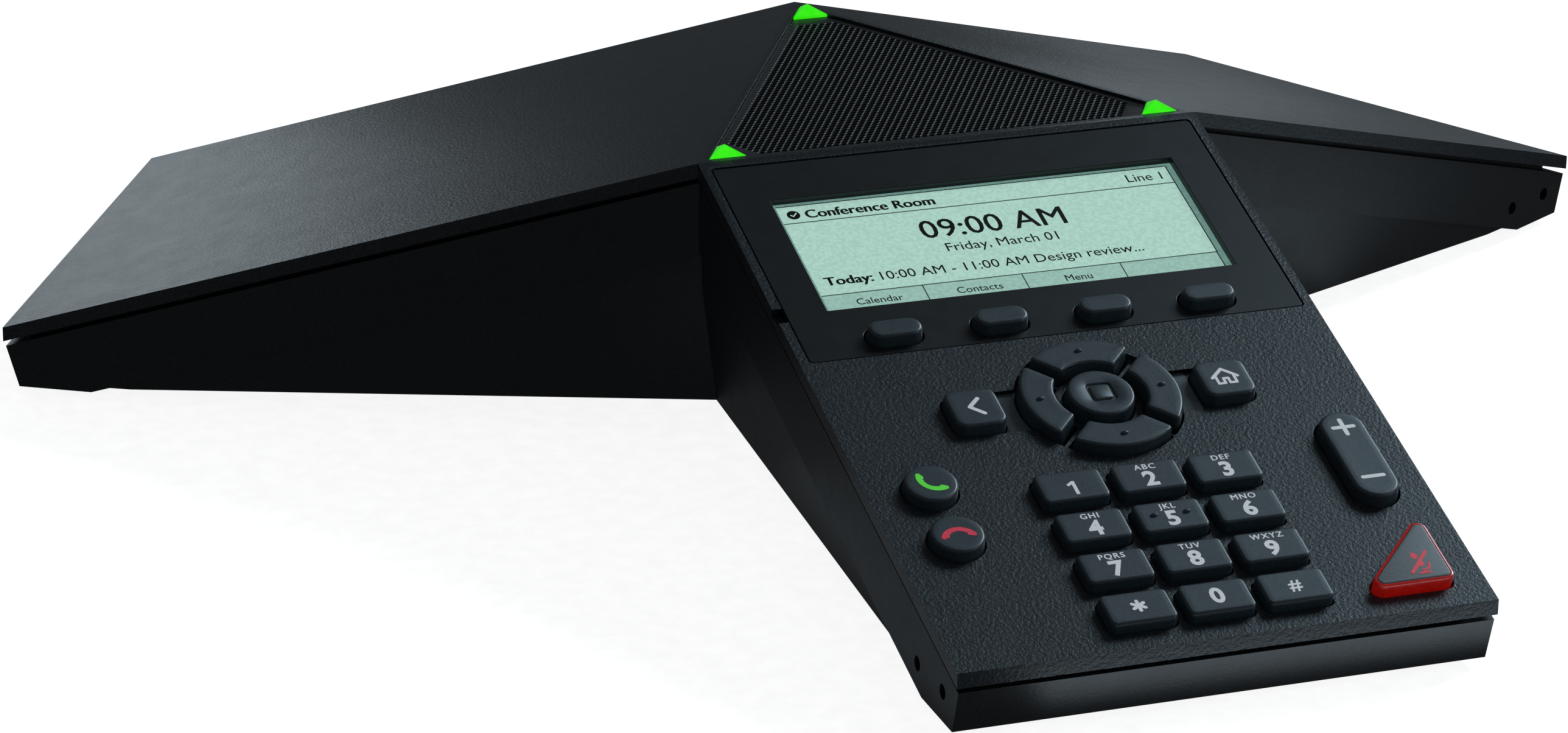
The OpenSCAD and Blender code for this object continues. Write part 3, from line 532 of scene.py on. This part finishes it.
DIAL_LETTERS = {
    "2": "ABC", "3": "DEF", "4": "GHI", "5": "JKL", "6": "MNO", "7": "PQRS", "8": "TUV", "9": "WXYZ",
}
DIAL_SIGNS = [str(k) for k in range(1, 10)] + ["star", "0", "hash"]
DIGIT_H, DIGIT_Y = 3.3, -0.78
LETTER_H, LETTER_Y = 1.2, 2.16

for sign in DIAL_SIGNS:
    node = f"dial_{sign}"
    lo, hi = cap(node)
    size = hi - lo
    levels = key_levels(hi.z)
    feel = [bump_mesh(d * 2.9, 0.3, hi.z - 0.02) for d in (-1, 1)] if sign == "5" else []
    key_piece(node, rounded(size.x, size.y, 1.2), levels, feel)
    if sign == "star":
        spokes = [stroke([(0, 0), (0, 1.15)], 0.62, lift=k * LAYER) for k in range(6)]
        mesh = joined(*[shifted(spoke, turn=60 * k) for k, spoke in enumerate(spokes)])
    elif sign == "hash":
        mesh = word("#", 2.5, weight=0.02)
    elif sign == "0":
        mesh = word("0", DIGIT_H, weight=0.035)
    else:
        mesh = shifted(one(DIGIT_H) if sign == "1" else word(sign, DIGIT_H, weight=0.035), y=DIGIT_Y)
    if sign in DIAL_LETTERS:
        mesh = joined(mesh, shifted(bold(DIAL_LETTERS[sign], LETTER_H, 0.035, spacing=1.2), y=LETTER_Y))
    legend(f"{node}_legend", mesh, node, INK_WITH_PAINTED_GLOW)

for k in range(1, 5):
    node = f"soft_key_{k}"
    lo, hi = cap(node)
    key_piece(node, rounded(hi.x - lo.x, hi.y - lo.y, 2.4), key_levels(hi.z, edge=0.6, draft=0.3))

for node in ("back_key", "home_key"):
    lo, hi = cap(node)
    key_piece(node, rounded(hi.x - lo.x, hi.y - lo.y, 2.2), key_levels(hi.z, edge=0.6, draft=0.2))
legend("back_key_legend", stroke([(1.0, 1.95), (-1.05, 0), (1.0, -1.95)], 0.72), "back_key", INK_WITH_PAINTED_GLOW)
house = joined(
    stroke([(-2.3, -0.15), (0, 1.95), (2.3, -0.15)], 0.62),
    stroke([(-1.65, 0.1), (-1.65, -1.75), (-0.45, -1.75), (-0.45, -0.5), (0.45, -0.5), (0.45, -1.75),
            (1.65, -1.75), (1.65, 0.1)], 0.5, lift=2 * LAYER),
)
legend("home_key_legend", house, "home_key", INK_WITH_PAINTED_GLOW)

for node, mesh, ink in (
    ("call_key", shifted(handset(), turn=45 + 90, x=-0.35, y=-0.35), CALL_INK_WITH_PAINTED_GLOW),
    ("end_key", shifted(handset(), y=0.1), END_INK_WITH_PAINTED_GLOW),
):
    lo, hi = cap(node)
    key_piece(node, round_outline((hi.x - lo.x) / 2), key_levels(hi.z, edge=0.55, draft=0.2))
    legend(f"{node}_legend", mesh, node, ink)

# Arrow ring and select key
select_lo, select_hi = cap("select_key")
ring_middle = (select_lo + select_hi) / 2
select_r = (select_hi.x - select_lo.x) / 2
ring_top = cap("nav_up")[1].z
ring_r = cap("nav_up")[1].y - ring_middle.y
ring_inner = 7.9
RING_HALF_GAP = 1.0
for turn, node in ((0, "nav_right"), (90, "nav_up"), (180, "nav_left"), (270, "nav_down")):
    middle_r = (ring_r + ring_inner) / 2
    heading = math.radians(turn)
    drop = bump_mesh(middle_r * math.cos(heading), middle_r * math.sin(heading), ring_top - 0.02)
    key_piece(
        node, quarter(ring_inner, ring_r, RING_HALF_GAP, 0.9),
        key_levels(ring_top, edge=0.5, draft=0.2, flange=0.3), [drop], turn=turn,
        place=at_panel(ring_middle.x, ring_middle.y),
    )


GROOVE_OUT, GROOVE_IN, GROOVE_DEEP = 2.35, 1.7, 0.3


def select_key():
    """Round key with a rounded square groove in its top."""
    count = 48
    levels = key_levels(select_hi.z, edge=0.5, draft=0.2, flange=0.9)[:-1]
    verts, faces = loft(round_outline(select_r, count), levels)
    faces.pop()
    top = levels[-1][0]
    rings = []
    for n, reach, radius in (
        (top, GROOVE_OUT + 0.12, 0.9),
        (top - 0.06, GROOVE_OUT, 0.85),
        (top - GROOVE_DEEP, GROOVE_OUT - 0.1, 0.75),
        (top - GROOVE_DEEP, GROOVE_IN + 0.1, 0.5),
        (top - 0.06, GROOVE_IN, 0.45),
        (top, GROOVE_IN - 0.1, 0.4),
    ):
        outline = rounded(2 * reach, 2 * reach, radius, steps=count // 4 - 1)(0)
        first = min(range(count), key=lambda i: abs(math.atan2(outline[i][1], outline[i][0])))
        rings.append([(x, y, n) for x, y in outline[first:] + outline[:first]])
    for ring in rings:
        start = len(verts)
        verts += ring
        faces += [
            (start - count + i, start - count + (i + 1) % count, start + (i + 1) % count, start + i)
            for i in range(count)
        ]
    faces.append(tuple(range(len(verts) - count, len(verts))))
    return verts, faces


piece = build("select_key_cap", *select_key(), at_panel(*ring_middle.xy), KEY, "select_key", "key_plastic")
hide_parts("select_key")

# Volume rocker
lo, hi = cap("volume_rocker")
flange_levels = key_levels(hi.z, edge=0.6, draft=0.25, flange=0.3)
rocker_w = hi.x - lo.x
key_piece("volume_rocker", rounded(rocker_w, hi.y - lo.y, rocker_w / 2 - 0.01, steps=14), flange_levels)
SIGN_Y, SIGN_HALF, SIGN_W = 6.9, 1.85, 0.8
signs = joined(
    shifted(stroke([(-SIGN_HALF, 0), (SIGN_HALF, 0)], SIGN_W), y=SIGN_Y),
    shifted(stroke([(0, -SIGN_HALF), (0, SIGN_HALF)], SIGN_W, lift=LAYER), y=SIGN_Y),
    shifted(stroke([(-SIGN_HALF, 0), (SIGN_HALF, 0)], SIGN_W), y=-SIGN_Y + 0.9),
)
legend("volume_rocker_legend", signs, "volume_rocker", INK_WITH_PAINTED_GLOW)

# Mute key: a clear red base whose rim stands round a grey cap
MUTE_R = 1.7
MUTE_CAP_R = 1.15
lens_lo, lens_hi = cap("mute_lens")
base = corner_outline(lens_lo, lens_hi, MUTE_R)
base_levels = [(FLANGE_TOP, 0), (lens_hi.z - 0.35, 0.06), (lens_hi.z - 0.1, 0.14), (lens_hi.z, 0.3),
               (lens_hi.z, MUTE_R - MUTE_CAP_R - 0.06), (lens_hi.z - 0.7, MUTE_R - MUTE_CAP_R - 0.04)]
piece = build("mute_lens_body", *loft(base, base_levels), PANEL, MUTE_RED_WITH_PAINTED_GLOW, "mute_key", "mute_red")
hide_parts("mute_lens")
cap_lo, cap_hi = cap("mute_cap")
cap_top = cap_hi.z
MUTE_EDGE, MUTE_GAP = 0.3, 0.02
cap_levels = [(lens_hi.z - 0.9, MUTE_GAP), (cap_top - MUTE_EDGE, MUTE_GAP)]
for k in range(1, STEPS + 1):
    round_at = math.radians(90 * k / STEPS)
    drop_by, inset_by = MUTE_EDGE * (1 - math.sin(round_at)), MUTE_EDGE * (1 - math.cos(round_at))
    cap_levels.append((cap_top - drop_by, MUTE_GAP + inset_by))
mute_cap = loft(corner_outline(cap_lo, cap_hi, MUTE_CAP_R), cap_levels)
piece = build("mute_cap_body", *mute_cap, PANEL, MUTE_GREY, "mute_key", "mute_cap_plastic")
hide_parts("mute_cap")
mic = joined(
    stroke([(-0.4, 1.5), (-0.4, 1.95)], 1.1, steps=10),
    stroke([(-0.1, -0.5), (0.1, -0.1)], 1.0, lift=LAYER),
    stroke(arc((-0.1, -0.35), 1.5, 285, 360, 8), 0.4, lift=2 * LAYER),
    stroke([(-0.1, -1.7), (-0.1, -2.4)], 0.36, lift=3 * LAYER),
    stroke([(-1.05, -2.5), (0.95, -2.5)], 0.42, lift=4 * LAYER),
    stroke([(-2.25, -2.15), (1.95, 2.4)], 0.62, lift=5 * LAYER),
)
mute_place = at_panel(lens_hi.x - 4.9, lens_lo.y + 4.4, cap_top - INK_SUNK)
build("mute_key_legend", *mic, mute_place, MUTE_INK_WITH_PAINTED_GLOW, "mute_key", "mute_cap_plastic")


# ---- Display picture ----

glass_top = cap("lcd_glass")[1].z
SCREEN = dict(left=-37.1, right=36.8, top=-12.9, header=-17.7, bar=-38.1, low=-42.9)


def screen_layer(name, mesh, material, layer):
    return build(name, *mesh, at_panel(0, 0, glass_top + layer * INK_T), material, "root", "lcd")


def screen_band(low, high):
    """The full width of the picture between two of its heights."""
    return rectangle(SCREEN["left"], SCREEN[low], SCREEN["right"], SCREEN[high])


screen_layer("lcd_field", screen_band("bar", "top"), LCD_BACK, 0)
screen_layer("lcd_soft_bar", screen_band("low", "bar"), LCD_BAR, 0)
RULE = 0.2
# The rules along the picture's top and right edges are painted shadow lines of the window's rim. The header,
# bar and soft key rules are lines of the picture.
rules_and_rim_shadow = [rectangle(SCREEN["left"], y - RULE / 2, SCREEN["right"], y + RULE / 2)
         for y in (SCREEN["top"], SCREEN["header"], SCREEN["bar"])]
quarter_w = (SCREEN["right"] - SCREEN["left"]) / 4
for k in (1, 2, 3, 4):
    rule_x = SCREEN["left"] + quarter_w * k
    rules_and_rim_shadow.append(rectangle(rule_x - RULE / 2, SCREEN["low"], rule_x + RULE / 2, SCREEN["bar"]))
rules_and_rim_shadow.append(rectangle(SCREEN["right"], SCREEN["bar"], SCREEN["right"] + RULE, SCREEN["top"]))
screen_layer("lcd_rules_and_rim_shadow", joined(*rules_and_rim_shadow), LCD_RULE_AND_RIM_SHADOW, 1)
check = stroke([(-0.5, 0.0), (-0.12, -0.42), (0.62, 0.42)], 0.22)
lines = [
    shifted(bold("Conference Room", 2.2, 0.1, align=-1), -32.4, -15.5),
    shifted(word("Line 1", 2.1, align=1), 35.2, -15.3),
    shifted(bold("09:00 AM", 4.8, 0.05), -0.2, -23.3),
    shifted(word("Friday, March 01", 2.2), -0.3, -28.7),
    shifted(bold("Today:", 2.2, 0.1, align=-1), -35.2, -34.4),
    shifted(word("10:00 AM - 11:00 AM Design review...", 2.2, align=-1), -25.0, -34.4),
    shifted(plate(arc((0, 0), 1.2, 0, 345, 23)), -34.6, -15.4),
]
for k, label in enumerate(("Calendar", "Contacts", "Menu")):
    lines.append(shifted(word(label, 1.6), SCREEN["left"] + quarter_w * (k + 0.53), -40.6))
screen_layer("lcd_lettering", joined(*lines), LCD_INK, 1)
screen_layer("lcd_tick", shifted(check, -34.6, -15.4), LCD_BACK, 2)


# ---- Smooth strips beside the arrow ring ----

back_hi, home_lo = cap("back_key")[1], cap("home_key")[0]
STRIP_HALF, STRIP_FLOOR, RING_HOLE = 5.3, -0.8, 14.55
for side, edge in ((-1, back_hi.x + 0.35), (1, home_lo.x - 0.35)):
    reach = math.degrees(math.asin(STRIP_HALF / RING_HOLE))
    curve = arc((0, 0), RING_HOLE, -reach, reach, 12)
    outline = curve + [(side * edge, STRIP_HALF), (side * edge, -STRIP_HALF)]
    outline = [(side * x, y) for x, y in outline]
    if side > 0:
        outline.reverse()
    strip_place = at_panel(ring_middle.x, (back_hi.y + cap("back_key")[0].y) / 2, STRIP_FLOOR)
    build(f"ring_strip_{'right' if side > 0 else 'left'}", *plate(outline, 0.06), strip_place, STRIP_PAINTED_LIT, "root",
          "panel_plastic")


# ---- Perforated grille ----

grille_lo, grille_hi = box_mm("speaker_grille")
grille_t = grille_hi.z - grille_lo.z
grille_a = star_y - grille_lo.y
PITCH = 1.4
MARGIN = 0.03
SIDES = 12
LIGHT_KEEP = 2 * grille_a - 9.5  # how far from the middle the holes reach, short of the lights
HOLE_SHARES = ((0.46, -0.05), (0.425, -0.14), (0.395, -0.35), (0.39, -1.0))
HOLE_RINGS = [(share * PITCH, n) for share, n in HOLE_SHARES]
CELL_DIP = -0.05  # the web's height midway between two holes


def perforated_grille():
    """Triangular plate with rows of round holes, each in the middle of its own six-sided cell."""
    verts, faces, shared = [], [], {}

    def vertex(x, y, n):
        key = (round(x, 4), round(y, 4), round(n, 4))
        if key not in shared:
            shared[key] = len(verts)
            verts.append((x, y, n))
        return shared[key]

    def inside(x, y, inset):
        turns = (math.radians(a) for a in (-90, 30, 150))
        return all(x * math.cos(a) + y * math.sin(a) < grille_a - inset for a in turns)

    corner_r = PITCH / math.sqrt(3)
    rows = int(2 * grille_a / (PITCH * SIN60)) + 2
    edges = {}
    for j in range(-rows, rows + 1):
        for i in range(-2 * rows, 2 * rows + 1):
            cx, cy = (i + j / 2) * PITCH, j * PITCH * SIN60 - corner_r
            if not inside(cx, cy, corner_r + MARGIN) or math.hypot(cx, cy) > LIGHT_KEEP:
                continue
            rim = []
            for k in range(SIDES):
                turn = math.radians(30 * k)
                reach = PITCH / 2 if k % 2 == 0 else corner_r
                dip = CELL_DIP if k % 2 == 0 else 0.0
                rim.append((cx + reach * math.cos(turn), cy + reach * math.sin(turn), dip))
            loops = [[vertex(*p) for p in rim]]
            for radius, n in HOLE_RINGS:
                loops.append([vertex(cx + radius * math.cos(math.radians(30 * k)),
                                     cy + radius * math.sin(math.radians(30 * k)), n) for k in range(SIDES)])
            loops.append([vertex(x, y, -grille_t) for x, y, _ in rim])
            for outer_loop, inner_loop in zip(loops, loops[1:]):
                faces.extend(
                    (outer_loop[k], outer_loop[(k + 1) % SIDES], inner_loop[(k + 1) % SIDES], inner_loop[k])
                    for k in range(SIDES)
                )
            for k in range(SIDES):
                edges[(loops[0][k], loops[0][(k + 1) % SIDES])] = True
    follow = {a: b for a, b in edges if (b, a) not in edges}
    start = next(iter(follow))
    loop, at = [start], follow[start]
    while at != start:
        loop.append(at)
        at = follow[at]
    corner_turns = [math.radians(a) for a in (90, 210, 330)]
    corners = [(2 * grille_a * math.cos(a), 2 * grille_a * math.sin(a)) for a in corner_turns]
    for n in (0.0, -grille_t):
        outer_loop = [vertex(x, y, n) for x, y in corners]
        inner_loop = [vertex(verts[i][0], verts[i][1], n if n else verts[i][2]) for i in loop]
        index = outer_loop + inner_loop
        for a, b, c in tessellate_polygon([[Vector(verts[i][:2] + (0,)) for i in outer_loop],
                                           [Vector(verts[i][:2] + (0,)) for i in inner_loop]]):
            a, b, c = index[a], index[b], index[c]
            (ax, ay), (bx, by), (px, py) = (verts[corner][:2] for corner in (a, b, c))
            area = (bx - ax) * (py - ay) - (by - ay) * (px - ax)
            faces.append((a, b, c) if (area > 0) == (n == 0) else (a, c, b))
    tops = [vertex(x, y, 0.0) for x, y in corners]
    lows = [vertex(x, y, -grille_t) for x, y in corners]
    faces.extend((lows[k], lows[(k + 1) % 3], tops[(k + 1) % 3], tops[k]) for k in range(3))
    return verts, faces


grille_place = WORLD @ Matrix.Translation((0, star_y, grille_hi.z))
piece = build("speaker_grille_plate", *perforated_grille(), grille_place, GRILLE, "root", "grille", sharp=50)
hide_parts("speaker_grille")


# ---- Studio ----

camera = bpy.data.objects.new("camera", bpy.data.cameras.new("camera"))
bpy.context.scene.collection.objects.link(camera)
bpy.context.scene.camera = camera
camera.data.lens = 126.09
camera.data.sensor_width = 36
view_right = Vector((0.94191, -0.33552, 0.01506))
view_up = Vector((0.11049, 0.35191, 0.92949))
view_back = Vector((-0.31716, -0.87383, 0.36854))
view_turn = Matrix((view_right, view_up, view_back)).transposed().to_4x4()
camera.matrix_world = Matrix.Translation((-0.34319, -0.86977, 0.37771)) @ view_turn


def paper_floor():
    floor_mesh = bpy.data.meshes.new("floor")
    reach = 6.0
    corners = [(-reach, -reach, 0), (reach, -reach, 0), (reach, reach, 0), (-reach, reach, 0)]
    floor_mesh.from_pydata(corners, [], [(0, 1, 2, 3)])
    paper = grained("floor_paper", srgb(246, 246, 246), srgb(250, 250, 250), (0.8, 0.9), 2.0, 0.002,
                    specular=0.1, glow=0.96)
    floor_mesh.materials.append(paper)
    floor = bpy.data.objects.new("floor", floor_mesh)
    bpy.context.scene.collection.objects.link(floor)
    floor.visible_glossy = False
    floor.visible_diffuse = False


def lamp(name, kind, energy, place, aim, gloss_only=False, **settings):
    """A lamp at `place` that shines towards `aim`. A gloss_only lamp is just seen in reflections."""
    data = bpy.data.lights.new(name, kind)
    data.energy = energy
    for key, value in settings.items():
        setattr(data, key, value)
    holder = bpy.data.objects.new(name, data)
    bpy.context.scene.collection.objects.link(holder)
    holder.location = place
    holder.rotation_euler = (Vector(aim) - Vector(place)).to_track_quat("-Z", "Y").to_euler()
    holder.visible_camera = False
    holder.visible_diffuse = not gloss_only


def bounce_card(name, low, high, glow):
    """A white card on the floor that only shows in reflections."""
    card_mesh = bpy.data.meshes.new(name)
    (x0, y0), (x1, y1), z = low, high, 0.0005
    card_mesh.from_pydata([(x0, y0, z), (x1, y0, z), (x1, y1, z), (x0, y1, z)], [], [(0, 1, 2, 3)])
    card_mesh.materials.append(grained(name, COOL + (1,), COOL + (1,), (0.8, 0.9), 2.0, 0.002, glow=glow))
    card = bpy.data.objects.new(name, card_mesh)
    bpy.context.scene.collection.objects.link(card)
    card.visible_camera = card.visible_diffuse = card.visible_shadow = False


COOL = (0.8, 0.93, 1.0)
paper_floor()
lamp("key_lamp", "SUN", 1.0, (0.78, 0.3, 0.56), (0, 0, 0), angle=math.radians(14), color=COOL)
lamp("top_box", "AREA", 3.6, (0.88, 0.45, 0.9), (0.02, -0.08, 0.03), True, size=0.45, color=(0.62, 0.85, 1.0))
lamp("rim_box", "AREA", 0.9, (0.75, 0.59, 0.29), (0.05, -0.08, 0.03), True, size=0.15, color=COOL)
lamp("left_arm_box", "AREA", 0.25, (-0.12, 0.6, 0.14), (-0.12, 0.1, 0.03), True, size=0.19, color=COOL)
lamp("right_arm_box", "AREA", 0.07, (0.355, 0.6, 0.15), (0.1, 0.07, 0.03), True, size=0.1, color=COOL)
lamp("front_box", "AREA", 1.0, (0.9, -0.7, 0.35), (0.02, -0.1, 0.03), size=0.5, color=COOL)
tip_y, side_x = cover_lo.y * MM, -half_w * MM
bounce_card("front_card", (-0.03, tip_y - 0.02), (0.12, tip_y - 0.002), 1.8)
bounce_card("left_card", (side_x - 0.026, tip_y), (side_x - 0.003, tip_y + 0.11), 0.2)
bounce_card("right_card", (0.1, -0.12), (0.2, 0.02), 0.32)
world = bpy.data.worlds.new("studio")
bpy.context.scene.world = world
world.use_nodes = True
world.node_tree.nodes["Background"].inputs["Color"].default_value = (0.92, 0.96, 1.0, 1.0)
world.node_tree.nodes["Background"].inputs["Strength"].default_value = 0.08
bpy.context.scene.view_settings.view_transform = "Standard"
